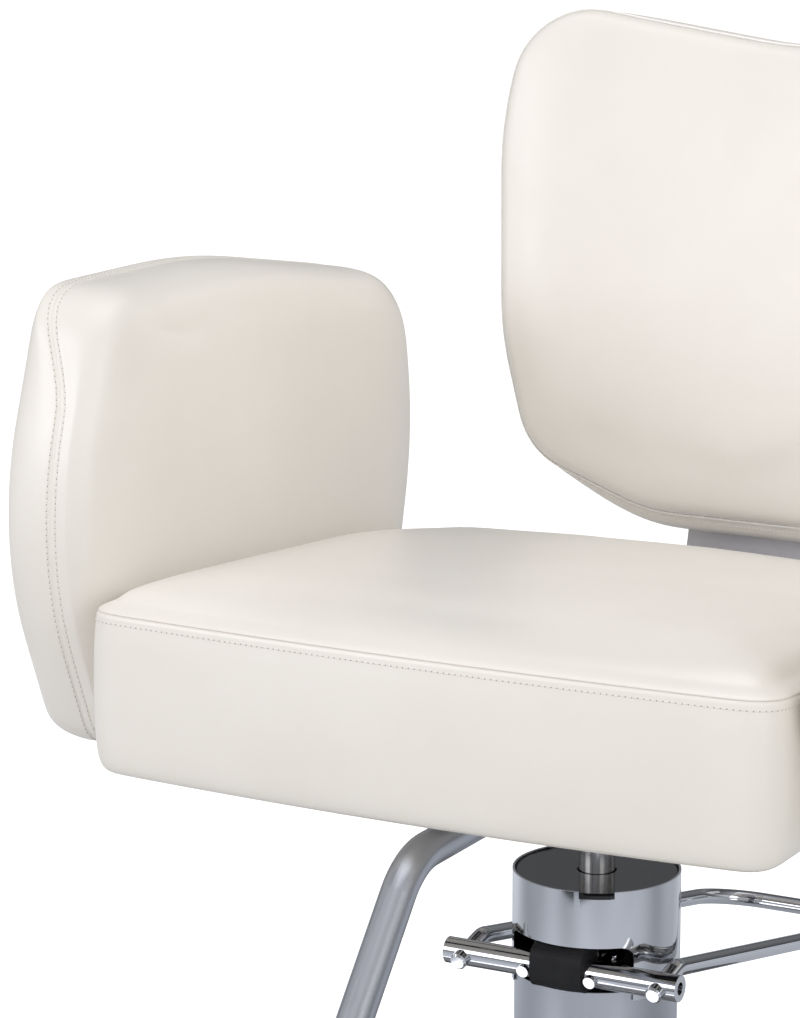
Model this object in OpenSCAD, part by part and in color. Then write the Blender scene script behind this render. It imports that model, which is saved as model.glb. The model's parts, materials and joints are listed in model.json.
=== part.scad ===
// Styling chair on a hydraulic column: round floor base, foot pump, lift ram,
// swivelling upholstered seat with padded arms, reclined back and a tube footrest.
// Frame: +Z up from the floor, Z axis on the column, the sitter looks along -Y.

/* [Base] */
// Diameter of the floor base
base_d = 600; // [520:5:680]
// Thickness of the cast weight under the base shell
weight_t = 10; // [8:1:16]
// Height of the base shell where it meets the column
shell_h = 30; // [26:1:40]

/* [Column] */
// Outer diameter of the upper column cover
cover_d = 120; // [116:1:130]
// Height of the upper cover's rim above the floor
cover_top = 245; // [235:1:260]
// Lower edge of the pump slot, where the lower cover ends
slot_low = 171; // [165:1:175]
// Upper edge of the pump slot
slot_high = 204; // [202:1:208]
// Half of the slot's width
slot_half = 47; // [40:1:50]

/* [Lift] */
// Diameter of the lift ram
ram_d = 26; // [24:1:30]
// Height of the ram's upper end above the floor
ram_top = 336; // [330:1:337]

/* [Pedal] */
// Distance of the pedal shaft in front of the column axis
shaft_y = 54; // [52:0.5:56]
// Height of the pedal shaft
shaft_z = 185.4; // [184:0.2:188]
// Half of the pedal shaft's length
shaft_half = 90.4; // [86:0.2:96]
// Half of the distance between the two pedal rods
rod_half = 76; // [72:1:80]
// Diameter of the pedal rod
rod_d = 12.4; // [10:0.2:14]
// Reach of the pedal behind the column axis
pedal_reach = 385; // [340:5:420]
// Slope of the pedal rods, falling to the rear
pedal_slope = 11.85; // [8:0.05:14]

/* [Seat] */
// Width of the seat cushion
seat_w = 505.6; // [460:0.2:540]
// Front of the seat cushion at its middle
seat_front = 291; // [270:1:300]
// Rear of the seat cushion
seat_rear = 236; // [220:1:245]
// Underside of the seat cushion above the floor
seat_low = 354; // [350:1:358]
// Height of the top seam at the front edge
seat_high = 466; // [450:1:480]
// Radius of the seat's corners in plan
seat_corner = 26; // [16:1:36]
// Fall of the seat surface to the rear
seat_slope = 4.9; // [0:0.1:7]

/* [Armrests] */
// Distance of the arm's inner face from the middle
arm_in = 254.5; // [254:0.5:262]
// Thickness of the padded arm
arm_t = 77.5; // [65:0.5:85]
// Highest point of the arm above the floor
arm_high = 671; // [640:1:690]

/* [Backrest] */
// Lean of the backrest from upright
back_lean = 14.4; // [8:0.1:20]
// Height of the backrest along its own plane
back_h = 387; // [360:1:420]
// Half of the backrest's greatest width
back_half = 228; // [200:1:240]
// Radius of the hollow that holds the sitter's back
back_hollow_r = 1010; // [800:10:1400]

/* [Footrest] */
// Height of the footrest tube where it leaves the swivel hub
foot_high = 329; // [326:1:330]
// Diameter of the footrest tube
foot_d = 24; // [20:1:26]
// Slope of the lower part of the tube
foot_slope = 49.2; // [40:0.1:60]
// Distance of the foot bar in front of the column axis
foot_reach = 458; // [440:1:480]
// Length of the foot bar
foot_w = 340; // [260:5:400]

/* [Hidden] */
$fn = 96;
EPS = 0.02;
// Column and pump
cover_r = cover_d / 2;
lower_r = cover_r - 1.7;
sheet = 1.6;
flange_t = 8;
flange_top = weight_t + flange_t;
tank_r = 37;
sleeve_r = 8.4;
sleeve_low = 96;
barrel_r = 20;
barrel_bore = 16;
head_z = 150;
head_top = 160;
barrel_top = 232;
ram_r = ram_d / 2;
fit = 0.05;
// Pedal linkage
shaft_r = 9.5;
rod_r = rod_d / 2;
leg_tilt = 13.3;
yoke_half = 26;
yoke_r = 4.5;
yoke_bar_r = 6;
plunger_y = 29;
plunger_r = 5.5;
yoke_z = shaft_z + (shaft_y - plunger_y) * tan(leg_tilt);
plunger_top = yoke_z - yoke_bar_r - 0.3;
head_flange = 5;
block_half = 20;
plate_front = 41;
plate_back = 37.2;
bracket_screw_x = [-12, 12];
bracket_screw_r = 2;
// Seat structure
plate_t = 6;
plate_z = seat_low - plate_t;
board_t = 12;
board_inset = 24;
hub_r = 22;
hub_low = 272;
washer_t = 3;
bolt_r = 4;
bolt_head_r = 7;
bolt_head_t = 5;
bracket_w = 40;
bracket_top = 430;
arm_bracket_y = [-90, 90];
arm_bolt_x = [130, 200];
arm_bolt_z = [375, 410];
core_in = arm_in + 34;
core_t = 15;
arm_mid = [-35, 508];
seat_bolt_x = 70;
seat_bolt_y = [-90, 70];
// Backrest structure
back_y = 249;
back_z = 445;
pad_t = 36;
back_board_t = 10;
cover_pad_t = 22;
spine_half = 64;
spine_reach = 200;
spine_start = 95;
spine_bolt_x = [-45, 45];
spine_bolt_y = [120, 170];
spine_bolt_v = [80, 170];
// Footrest structure
foot_r = foot_d / 2;
foot_bend_y = 282;
foot_bend_r = 55;
foot_wall = 2;
foot_low = foot_high - (foot_reach - foot_bend_y) * tan(foot_slope);
grip_in = 28;
grip_r = 17;

// ---- outlines ----

function unit(v) = v / norm(v);

// Points of the arc that rounds corner b between a and c with radius b[2]
function corner_arc(a, b, c, n) =
    let (
        p = [b.x, b.y],
        u = unit([a.x, a.y] - p),
        v = unit([c.x, c.y] - p),
        half = acos(u * v) / 2,
        centre = p + unit(u + v) * b[2] / sin(half),
        s = p + u * b[2] / tan(half) - centre,
        e = p + v * b[2] / tan(half) - centre,
        a0 = atan2(s.y, s.x),
        d = atan2(e.y, e.x) - a0,
        turn = d > 180 ? d - 360 : (d < -180 ? d + 360 : d)
    )
    [for (k = [0:n]) centre + b[2] * [cos(a0 + turn * k / n), sin(a0 + turn * k / n)]];

// Closed outline through corners [x, y, radius]
function rounded(c, n = 6) =
    let (m = len(c))
    [for (i = [0:m - 1]) each corner_arc(c[(i + m - 1) % m], c[i], c[(i + 1) % m], n)];

// Corners moved towards a centre, keeping their shape
function shrunk(c, centre, k) =
    [for (p = c) [centre.x + (p.x - centre.x) * k, centre.y + (p.y - centre.y) * k, p[2] * k]];

// Side outline of the arm, y then z
arm_corners = [
    [-214, 348, 30], [-282, 505, 225], [-219, arm_high - 1, 46],
    [-30, arm_high - 2, 800], [203, arm_high - 48, 74], [222, 500, 280], [186, 348, 40]
];

// Front outline of the backrest, x then height along the back, right half first
back_right = [
    [83, -1, 128], [183, 35, 62], [back_half - 13, 126, 262], [back_half + 6, 286, 321],
    [back_half - 7, back_h, 63], [120, back_h - 9, 150]
];
back_left = [for (i = [len(back_right) - 1:-1:0]) [-back_right[i].x, back_right[i].y, back_right[i][2]]];
back_corners = concat(back_right, [[0, back_h - 23, 303]], back_left);

// Plan outline of the seat, bowed at the front; inset shrinks it all round
module seat_plan(inset = 0) {
    bow_r = 2600;
    offset(r = seat_corner, $fn = 32) offset(delta = -seat_corner - inset)
        intersection() {
            translate([-seat_w / 2, -seat_front]) square([seat_w, seat_front + seat_rear]);
            translate([0, bow_r - seat_front]) circle(r = bow_r, $fn = 720);
        }
}

// ---- helpers ----

module tube(r, bore, z0, z1) {
    difference() {
        translate([0, 0, z0]) cylinder(r = r, h = z1 - z0);
        translate([0, 0, z0 - 1]) cylinder(r = bore, h = z1 - z0 + 2);
    }
}

// Cylinder along X, centred on x = 0
module cross_rod(r, half, y, z) {
    translate([-half, y, z]) rotate([0, 90, 0]) cylinder(r = r, h = 2 * half);
}

// Bolt along +Z: the shank from z0 to z1 with its head below z0
module bolt_up(r, head_r, head_t, z0, z1) {
    translate([0, 0, z0 - head_t]) cylinder(r = head_r, h = head_t, $fn = 6);
    translate([0, 0, z0 - EPS]) cylinder(r = r, h = z1 - z0 + EPS, $fn = 32);
}

// Extrudes a y-z outline along X from x0 to x1
module along_x(x0, x1) {
    translate([x0, 0, 0]) rotate([90, 0, 90]) linear_extrude(x1 - x0) children();
}

// ---- floor base ----

base_bolt_ring = 47;

module base_bolt_places() {
    for (a = [45:90:315]) rotate(a) translate([base_bolt_ring, 0, 0]) children();
}

module base_weight() {
    color([0.16, 0.16, 0.17]) difference() {
        rotate_extrude() polygon([
            [0, 0], [base_d / 2 - 18, 0], [base_d / 2 - 15, 3], [base_d / 2 - 15, weight_t - 2],
            [base_d / 2 - 17, weight_t], [0, weight_t]
        ]);
        base_bolt_places() translate([0, 0, 3]) cylinder(r = 5, h = weight_t);
    }
}

module base_shell() {
    r = base_d / 2;
    color([0.78, 0.78, 0.8]) rotate_extrude() polygon([
        [r - 4, 8], [r - 1.5, 8], [r - 2.5, 11.5], [r - 8, 14], [130, shell_h - 3], [90, shell_h],
        [61, shell_h], [61, shell_h - 2], [90, shell_h - 2], [130, shell_h - 5], [r - 9, 12],
        [r - 5, 10.5]
    ]);
}

module base_trim() {
    r = base_d / 2;
    color([0.1, 0.1, 0.1]) rotate_extrude() polygon([
        [r - 12, 0], [r - 1, 0], [r, 1.5], [r, 7], [r - 1, 8], [r - 12, 8]
    ]);
}

module base_bolts() {
    color([0.6, 0.6, 0.62]) base_bolt_places() {
        translate([0, 0, 3]) cylinder(r = 5, h = 15 + EPS, $fn = 32);
        translate([0, 0, 18]) cylinder(r = 6.5, h = 6, $fn = 6);
    }
}

module pump_flange() {
    color([0.35, 0.36, 0.38]) difference() {
        translate([0, 0, weight_t]) cylinder(r = lower_r - 2.5, h = flange_t);
        base_bolt_places() translate([0, 0, weight_t - 1]) cylinder(r = 5, h = 10);
    }
}

// ---- pump ----

module oil_tank() {
    color([0.4, 0.41, 0.44]) difference() {
        tube(tank_r, tank_r - 2.5, flange_top, head_z);
        translate([0, -plunger_y, sleeve_low]) cylinder(r = sleeve_r, h = head_z);
    }
}

module pump_head() {
    color([0.45, 0.46, 0.48]) difference() {
        union() {
            translate([0, 0, head_z]) cylinder(r = tank_r, h = head_top - head_z);
            translate([-block_half, -plate_back, head_z]) cube([2 * block_half, 12, head_top - head_z]);
        }
        translate([0, 0, head_z - 1]) cylinder(r = barrel_r, h = 20);
        translate([0, -plunger_y, head_z - 1]) cylinder(r = plunger_r + fit, h = 20);
        for (x = bracket_screw_x) translate([x, -plate_back - 1, head_z + 5])
            rotate([-90, 0, 0]) cylinder(r = bracket_screw_r, h = 7);
    }
}

module pump_sleeve() {
    color([0.5, 0.5, 0.52]) translate([0, -plunger_y, 0]) difference() {
        translate([0, 0, sleeve_low]) cylinder(r = sleeve_r, h = head_z - sleeve_low);
        translate([0, 0, sleeve_low + 4]) cylinder(r = plunger_r + fit, h = head_z);
    }
}

module pump_barrel() {
    color([0.55, 0.56, 0.58]) tube(barrel_r, barrel_bore, flange_top, barrel_top);
}

module ram_bush() {
    color([0.72, 0.6, 0.32]) difference() {
        union() {
            translate([0, 0, barrel_top - 20]) cylinder(r = barrel_bore, h = 20);
            translate([0, 0, barrel_top]) cylinder(r = barrel_r, h = 4);
        }
        translate([0, 0, barrel_top - 21]) cylinder(r = ram_r + fit, h = 30);
    }
}

// ---- column covers ----

module column_collar() {
    color([0.78, 0.78, 0.8]) rotate_extrude() polygon([
        [lower_r + 0.1, shell_h], [lower_r + 15, shell_h], [lower_r + 15, shell_h + 2],
        [lower_r + 8, shell_h + 4], [lower_r + 4, shell_h + 9], [lower_r + 2.5, shell_h + 16],
        [lower_r + 0.1, shell_h + 16]
    ]);
}

module lower_cover() {
    color([0.66, 0.67, 0.7]) tube(lower_r, lower_r - sheet, weight_t, slot_low);
}

notch_turn = 25.5;

module upper_cover() {
    color([0.8, 0.8, 0.82]) difference() {
        tube(cover_r, lower_r + 0.1, slot_low - 7, cover_top);
        rotate([90, 0, 0]) linear_extrude(cover_r + 5) polygon(rounded([
            [-slot_half, slot_low - 20, 1], [slot_half, slot_low - 20, 1],
            [slot_half, slot_high, 7], [-slot_half, slot_high, 7]
        ]));
        rotate(notch_turn) translate([-12.5, -cover_r - 2, cover_top - 5]) cube([25, 12, 10]);
    }
}

module cover_plate() {
    plate_r = lower_r + 0.05;
    color([0.2, 0.2, 0.22]) difference() {
        union() {
            translate([0, 0, cover_top - 13]) cylinder(r = plate_r, h = 10);
            translate([0, 0, cover_top - 3]) cylinder(r1 = plate_r, r2 = plate_r - 1.5, h = 1.5);
        }
        translate([0, 0, cover_top - 14]) cylinder(r = plate_r - 1.8, h = 10.5);
        translate([0, 0, cover_top - 14]) cylinder(r = ram_r + 1.2, h = 14);
    }
}

// ---- pedal bearing ----

module bearing_bracket() {
    color([0.3, 0.3, 0.32]) difference() {
        translate([-block_half, -plate_front, head_z])
            cube([2 * block_half, plate_front - plate_back, slot_high - head_z]);
        for (x = bracket_screw_x) translate([x, -plate_front - 1, head_z + 5])
            rotate([-90, 0, 0]) cylinder(r = bracket_screw_r, h = 7);
    }
}

module bearing_block() {
    front = shaft_y + 13;
    color([0.12, 0.12, 0.13]) difference() {
        along_x(-block_half, block_half) polygon(rounded([
            [-plate_front, slot_low + 0.5, 1], [-plate_front, slot_high - 0.4, 1],
            [-front, slot_high - 0.4, 11], [-front, slot_low + 0.5, 11]
        ]));
        cross_rod(shaft_r + fit, block_half + 1, -shaft_y, shaft_z);
    }
}

module bracket_screws() {
    color([0.6, 0.6, 0.62]) for (x = bracket_screw_x) translate([x, -plate_front, head_z + 5]) {
        rotate([-90, 0, 0]) cylinder(r = bracket_screw_r, h = 9, $fn = 32);
        rotate([90, 0, 0]) cylinder(r = 4, h = 2.5, $fn = 32);
    }
}

// ---- pedal ----

// Puts children on the shaft axis, local -Y running forwards and down
module leg_frame(x) {
    translate([x, -shaft_y, shaft_z]) rotate([leg_tilt, 0, 0]) children();
}

module crossbar() {
    color([0.8, 0.8, 0.82]) difference() {
        cross_rod(shaft_r, shaft_half, -shaft_y, shaft_z);
        cross_rod(4.5, shaft_half + 1, -shaft_y, shaft_z);
        for (x = [-rod_half, rod_half]) leg_frame(x)
            rotate([-90, 0, 0]) translate([0, 0, -15]) cylinder(r = rod_r, h = 30);
        for (x = [-yoke_half, yoke_half]) leg_frame(x)
            rotate([-90, 0, 0]) translate([0, 0, -15]) cylinder(r = yoke_r, h = 30);
    }
}

bend_back = 24;
bend_r = 22;
elbow_turn = leg_tilt + pedal_slope;
bend_cut = bend_r * tan(elbow_turn / 2);
loop_corner = 42;

// One side of the pedal: front leg, bend and the long rod, in the leg's frame
module pedal_side(x) {
    leg_end = 13.6;
    straight = bend_back / cos(leg_tilt) - bend_cut;
    top_y = -shaft_y + bend_back;
    top_z = shaft_z + bend_back * tan(leg_tilt);
    run = (pedal_reach - top_y) / cos(pedal_slope);
    leg_frame(x) {
        translate([0, -leg_end, 0]) rotate([-90, 0, 0]) cylinder(r = rod_r, h = leg_end + straight);
        translate([0, -leg_end, 0]) rotate([90, 0, 0]) cylinder(r1 = rod_r, r2 = rod_r - 1.4, h = 1.4);
        translate([0, straight, -bend_r]) rotate([90, 0, 90])
            rotate([0, 0, 90 - elbow_turn]) rotate_extrude(angle = elbow_turn)
                translate([bend_r, 0]) circle(r = rod_r, $fn = 48);
    }
    translate([x, top_y, top_z]) rotate([-90 - pedal_slope, 0, 0])
        translate([0, 0, bend_cut]) cylinder(r = rod_r, h = run - bend_cut - loop_corner);
}

// Rear of the pedal loop: two rounded corners and the tread rod, in the rods' plane
module pedal_rear() {
    top_y = -shaft_y + bend_back;
    top_z = shaft_z + bend_back * tan(leg_tilt);
    run = (pedal_reach - top_y) / cos(pedal_slope);
    translate([0, top_y, top_z]) rotate([-pedal_slope, 0, 0]) {
        for (s = [-1, 1]) translate([s * (rod_half - loop_corner), run - loop_corner, 0])
            rotate([0, 0, s > 0 ? 0 : 90]) rotate_extrude(angle = 90)
                translate([loop_corner, 0]) circle(r = rod_r, $fn = 48);
        cross_rod(rod_r, rod_half - loop_corner, run, 0);
    }
}

module pedal_loop() {
    color([0.8, 0.8, 0.82]) {
        pedal_side(-rod_half);
        pedal_side(rod_half);
        pedal_rear();
    }
}

module rocker_yoke() {
    reach = (shaft_y - plunger_y) / cos(leg_tilt);
    color([0.7, 0.7, 0.72]) {
        for (x = [-yoke_half, yoke_half]) leg_frame(x)
            rotate([-90, 0, 0]) translate([0, 0, -12.5]) cylinder(r = yoke_r, h = 12.5 + reach);
        cross_rod(yoke_bar_r, yoke_half + yoke_bar_r, -plunger_y, yoke_z);
    }
}

module plunger() {
    color([0.72, 0.72, 0.74]) translate([0, -plunger_y, 0]) {
        translate([0, 0, 110]) cylinder(r = plunger_r, h = plunger_top - 110);
        translate([0, 0, plunger_top - head_flange]) cylinder(r = 7.5, h = head_flange);
    }
}

// Coil spring between the pump head and the plunger's flange
module plunger_spring() {
    wire = 0.8;
    low = head_top + wire;
    rise = plunger_top - head_flange - head_top - 2 * wire;
    color([0.5, 0.5, 0.52]) translate([0, -plunger_y, low])
        linear_extrude(height = rise, twist = -360 * 5, slices = 120, $fn = 8)
            translate([6.85, 0]) circle(r = wire, $fn = 8);
}

// ---- lift ----

piston_low = 40;
piston_t = 20;

module ram_rod() {
    straight = ram_top - piston_low - piston_t - 2;
    color([0.62, 0.62, 0.64]) translate([0, 0, piston_low + piston_t]) union() {
        cylinder(r = ram_r, h = straight);
        translate([0, 0, straight]) cylinder(r1 = ram_r, r2 = ram_r - 1.5, h = 2);
    }
}

module ram_piston() {
    color([0.5, 0.5, 0.52]) difference() {
        translate([0, 0, piston_low]) cylinder(r = barrel_bore - fit, h = piston_t);
        tube(barrel_bore + 1, barrel_bore - 3, piston_low + 8, piston_low + 12);
    }
}

module piston_ring() {
    color([0.1, 0.1, 0.1]) tube(barrel_bore - fit, barrel_bore - 3, piston_low + 8, piston_low + 12);
}

module thrust_washer() {
    color([0.72, 0.6, 0.32]) translate([0, 0, ram_top]) cylinder(r = ram_r - 1, h = washer_t);
}

// ---- swivel and seat structure ----

module swivel_hub() {
    color([0.45, 0.46, 0.48]) difference() {
        translate([0, 0, hub_low]) union() {
            translate([0, 0, 2]) cylinder(r = hub_r, h = plate_z - hub_low - 2);
            cylinder(r1 = hub_r - 2, r2 = hub_r, h = 2);
        }
        translate([0, 0, hub_low - 1]) cylinder(r = ram_r + fit, h = ram_top + washer_t + 1.2 - hub_low);
    }
}

module hub_ribs() {
    rib_low = hub_low + 14;
    color([0.45, 0.46, 0.48]) difference() {
        for (a = [0, 90, 180]) rotate(a) rotate([90, 0, 0]) translate([0, 0, -3]) linear_extrude(6)
            polygon([[0, plate_z], [84, plate_z], [84, plate_z - 10], [34, rib_low], [0, rib_low]]);
        translate([0, 0, hub_low]) cylinder(r = hub_r, h = 100);
    }
}

module seat_bolt_places() {
    for (x = [-seat_bolt_x, seat_bolt_x], y = seat_bolt_y) translate([x, y, 0]) children();
}

module arm_bolt_places() {
    for (s = [-1, 1], y = arm_bracket_y, x = arm_bolt_x) translate([s * x, y, 0]) children();
}

module spine_bolt_places() {
    for (x = spine_bolt_x, y = spine_bolt_y) translate([x, y, 0]) children();
}

module stay_screw_places() {
    for (y = [-222, -178]) translate([0, y, 0]) children();
}

module seat_plate() {
    color([0.3, 0.3, 0.32]) difference() {
        translate([0, 0, plate_z]) linear_extrude(plate_t) polygon(rounded([
            [-90, -112, 12], [90, -112, 12], [90, 92, 12], [-90, 92, 12]
        ]));
        seat_bolt_places() translate([0, 0, plate_z - 1]) cylinder(r = bolt_r, h = plate_t + 2, $fn = 32);
    }
}

module seat_bolts() {
    color([0.6, 0.6, 0.62]) {
        seat_bolt_places() bolt_up(bolt_r, bolt_head_r, bolt_head_t, plate_z, seat_low + 9);
        arm_bolt_places() bolt_up(bolt_r, bolt_head_r, bolt_head_t, plate_z, seat_low + 9);
        spine_bolt_places() bolt_up(bolt_r, bolt_head_r, bolt_head_t, plate_z, seat_low + 9);
    }
}

module seat_board_solid() {
    translate([0, 0, seat_low]) linear_extrude(board_t) seat_plan(board_inset);
}

module seat_board() {
    color([0.72, 0.58, 0.4]) difference() {
        seat_board_solid();
        seat_bolt_places() translate([0, 0, seat_low - 1]) cylinder(r = bolt_r, h = 10, $fn = 32);
        arm_bolt_places() translate([0, 0, seat_low - 1]) cylinder(r = bolt_r, h = 10, $fn = 32);
        spine_bolt_places() translate([0, 0, seat_low - 1]) cylinder(r = bolt_r, h = 10, $fn = 32);
        stay_screw_places() translate([0, 0, seat_low - 1]) cylinder(r = 2.5, h = 9, $fn = 32);
    }
}

// Slice of the seat, parallel to the seat surface and drop below the top seam
module seat_slice(drop, inset) {
    translate([0, -seat_front, seat_high - drop]) rotate([-seat_slope, 0, 0])
        translate([0, seat_front, 0]) linear_extrude(0.2) seat_plan(inset);
}

module seat_cushion() {
    color([0.93, 0.9, 0.83]) difference() {
        hull() {
            translate([0, 0, seat_low]) linear_extrude(0.2) seat_plan(5);
            translate([0, 0, seat_low + 8]) linear_extrude(0.2) seat_plan(0.5);
            seat_slice(6, 0);
            seat_slice(0, 3);
            seat_slice(-7, 28);
            seat_slice(-12, 80);
        }
        seat_board_solid();
        translate([0, 0, -1]) seat_board_solid();
    }
}

// ---- armrests ----

module arm_brackets() {
    color([0.3, 0.3, 0.32]) for (y = arm_bracket_y) difference() {
        translate([0, y + bracket_w / 2, 0]) rotate([90, 0, 0]) linear_extrude(bracket_w)
            polygon([
                [100, plate_z], [core_in, plate_z], [core_in, bracket_top],
                [core_in - plate_t, bracket_top],
                [core_in - plate_t, seat_low], [100, seat_low]
            ]);
        for (x = arm_bolt_x) translate([x, y, plate_z - 1])
            cylinder(r = bolt_r, h = plate_t + 2, $fn = 32);
        for (z = arm_bolt_z) translate([core_in - plate_t - 1, y, z])
            rotate([0, 90, 0]) cylinder(r = bolt_r, h = plate_t + 2, $fn = 32);
    }
}

module arm_bolts() {
    color([0.6, 0.6, 0.62]) for (y = arm_bracket_y, z = arm_bolt_z)
        translate([core_in - plate_t, y, z]) rotate([0, 90, 0]) bolt_up(bolt_r, 6.5, 4, 0, plate_t + 11);
}

module arm_core_solid() {
    along_x(core_in, core_in + core_t) polygon(rounded(shrunk(arm_corners, arm_mid, 0.86)));
}

module arm_core() {
    color([0.72, 0.58, 0.4]) difference() {
        arm_core_solid();
        for (y = arm_bracket_y, z = arm_bolt_z) translate([core_in - 1, y, z])
            rotate([0, 90, 0]) cylinder(r = bolt_r, h = 12, $fn = 32);
    }
}

module arm_layer(x, k) {
    along_x(x, x + 0.3) polygon(rounded(shrunk(arm_corners, arm_mid, k)));
}

module arm_pad() {
    color([0.93, 0.9, 0.83]) difference() {
        hull() {
            arm_layer(arm_in, 0.93);
            arm_layer(arm_in + 10, 0.985);
            arm_layer(arm_in + 40, 1);
            arm_layer(arm_in + arm_t - 12, 0.975);
            arm_layer(arm_in + arm_t - 0.3, 0.9);
        }
        arm_core_solid();
        for (y = arm_bracket_y) {
            translate([0, y - bracket_w / 2, plate_z]) cube([core_in + EPS, bracket_w, plate_t]);
            translate([core_in - plate_t, y - bracket_w / 2, plate_z])
                cube([plate_t + EPS, bracket_w, bracket_top - plate_z]);
            for (z = arm_bolt_z) translate([core_in - plate_t - 4, y, z])
                rotate([0, 90, 0]) cylinder(r = 6.5, h = 4 + EPS, $fn = 32);
        }
    }
}

module arm_brackets_left() { arm_brackets(); }
module arm_brackets_right() { mirror([1, 0, 0]) arm_brackets(); }
module arm_bolts_left() { arm_bolts(); }
module arm_bolts_right() { mirror([1, 0, 0]) arm_bolts(); }
module arm_core_left() { arm_core(); }
module arm_core_right() { mirror([1, 0, 0]) arm_core(); }
module arm_pad_left() { arm_pad(); }
module arm_pad_right() { mirror([1, 0, 0]) arm_pad(); }

// ---- backrest ----

// Local +Z runs up the back, +Y to the rear, origin at the middle of its lower edge
module back_frame() {
    translate([0, back_y, back_z]) rotate([-back_lean, 0, 0]) children();
}

// Curved layer of the back between two depths behind its front face
module back_layer(d0, d1, k) {
    mid = [0, back_h / 2];
    intersection() {
        rotate([90, 0, 0]) translate([0, 0, -120]) linear_extrude(200)
            polygon(rounded(shrunk(back_corners, mid, k)));
        translate([0, -back_hollow_r, 0]) difference() {
            translate([0, 0, -60]) cylinder(r = back_hollow_r + d1, h = back_h + 120, $fn = 360);
            translate([0, 0, -61]) cylinder(r = back_hollow_r + d0, h = back_h + 122, $fn = 360);
        }
    }
}

// Side outline of the spine plate: under the seat, round a bend and up the back
function spine_side() =
    let (
        front = pad_t + back_board_t,
        up = [sin(back_lean), cos(back_lean)],
        out = [cos(back_lean), -sin(back_lean)],
        f0 = [back_y, back_z] + front * out,
        r0 = f0 + plate_t * out,
        f_low = f0 - up * (f0.y - seat_low) / up.y,
        r_low = r0 - up * (r0.y - plate_z) / up.y,
        f_top = f0 + up * spine_reach,
        r_top = r0 + up * spine_reach
    )
    [
        [spine_start, plate_z, 0.5], [r_low.x, r_low.y, 30], [r_top.x, r_top.y, 1],
        [f_top.x, f_top.y, 1], [f_low.x, f_low.y, 24], [spine_start, seat_low, 0.5]
    ];

module spine_holes(r) {
    for (x = spine_bolt_x, v = spine_bolt_v)
        back_frame() translate([x, pad_t + 4, v]) rotate([-90, 0, 0]) cylinder(r = r, h = 20, $fn = 32);
}

module back_spine() {
    color([0.62, 0.61, 0.66]) difference() {
        along_x(-spine_half, spine_half) polygon(rounded(spine_side()));
        spine_holes(bolt_r);
        spine_bolt_places() translate([0, 0, plate_z - 1]) cylinder(r = bolt_r, h = plate_t + 2, $fn = 32);
    }
}

module back_bolts() {
    rear = pad_t + back_board_t + plate_t;
    color([0.6, 0.6, 0.62]) for (x = spine_bolt_x, v = spine_bolt_v)
        back_frame() translate([x, rear, v])
            rotate([90, 0, 0]) bolt_up(bolt_r, bolt_head_r, bolt_head_t, 0, 12);
}

module back_board() {
    color([0.72, 0.58, 0.4]) difference() {
        back_frame() back_layer(pad_t, pad_t + back_board_t, 0.95);
        spine_holes(bolt_r);
    }
}

module back_cushion() {
    color([0.93, 0.9, 0.83]) back_frame() back_layer(0, pad_t, 1);
}

module back_cover() {
    rear = pad_t + back_board_t;
    color([0.93, 0.9, 0.83]) difference() {
        back_frame() back_layer(rear, rear + cover_pad_t, 0.975);
        back_frame() translate([-spine_half, rear - 20, -60])
            cube([2 * spine_half, 20 + plate_t, spine_reach + 60]);
        for (x = spine_bolt_x, v = spine_bolt_v) back_frame() translate([x, rear, v])
            rotate([-90, 0, 0]) cylinder(r = bolt_head_r, h = plate_t + bolt_head_t, $fn = 32);
    }
}

// ---- footrest ----

// Section of the footrest tube
module foot_ring() {
    difference() {
        circle(r = foot_r);
        circle(r = foot_r - foot_wall);
    }
}

module footrest_tube() {
    cut = foot_bend_r * tan(foot_slope / 2);
    lower = (foot_reach - foot_bend_y) / cos(foot_slope);
    color([0.66, 0.67, 0.7]) {
        difference() {
            translate([0, 0, foot_high]) rotate([90, 0, 0]) linear_extrude(foot_bend_y - cut) foot_ring();
            translate([0, 0, hub_low]) cylinder(r = hub_r, h = 100);
        }
        translate([0, -foot_bend_y + cut, foot_high - foot_bend_r]) rotate([90, 0, -90])
            rotate([0, 0, 90]) mirror([0, 1, 0]) rotate_extrude(angle = foot_slope)
                translate([foot_bend_r, 0]) foot_ring();
        difference() {
            translate([0, -foot_bend_y, foot_high]) rotate([90 + foot_slope, 0, 0])
                translate([0, 0, cut]) linear_extrude(lower - cut) foot_ring();
            cross_rod(foot_r + 0.5, 40, -foot_reach, foot_low);
        }
    }
}

module footrest_stay() {
    color([0.6, 0.61, 0.64]) difference() {
        translate([-11, -232, foot_high + 4]) cube([22, 64, plate_z + plate_t - foot_high - 4]);
        translate([0, -160, foot_high]) rotate([90, 0, 0]) cylinder(r = foot_r, h = 80);
        stay_screw_places() translate([0, 0, foot_high]) cylinder(r = 2.5, h = 40, $fn = 32);
    }
}

module stay_screws() {
    screw_low = foot_high + foot_r;
    color([0.6, 0.6, 0.62]) stay_screw_places()
        translate([0, 0, screw_low]) cylinder(r = 2.5, h = seat_low + 7 - screw_low, $fn = 32);
}

module footrest_bar() {
    color([0.66, 0.67, 0.7]) difference() {
        cross_rod(foot_r + 0.5, foot_w / 2, -foot_reach, foot_low);
        cross_rod(foot_r - 1.5, foot_w / 2 + 1, -foot_reach, foot_low);
    }
}

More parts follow.
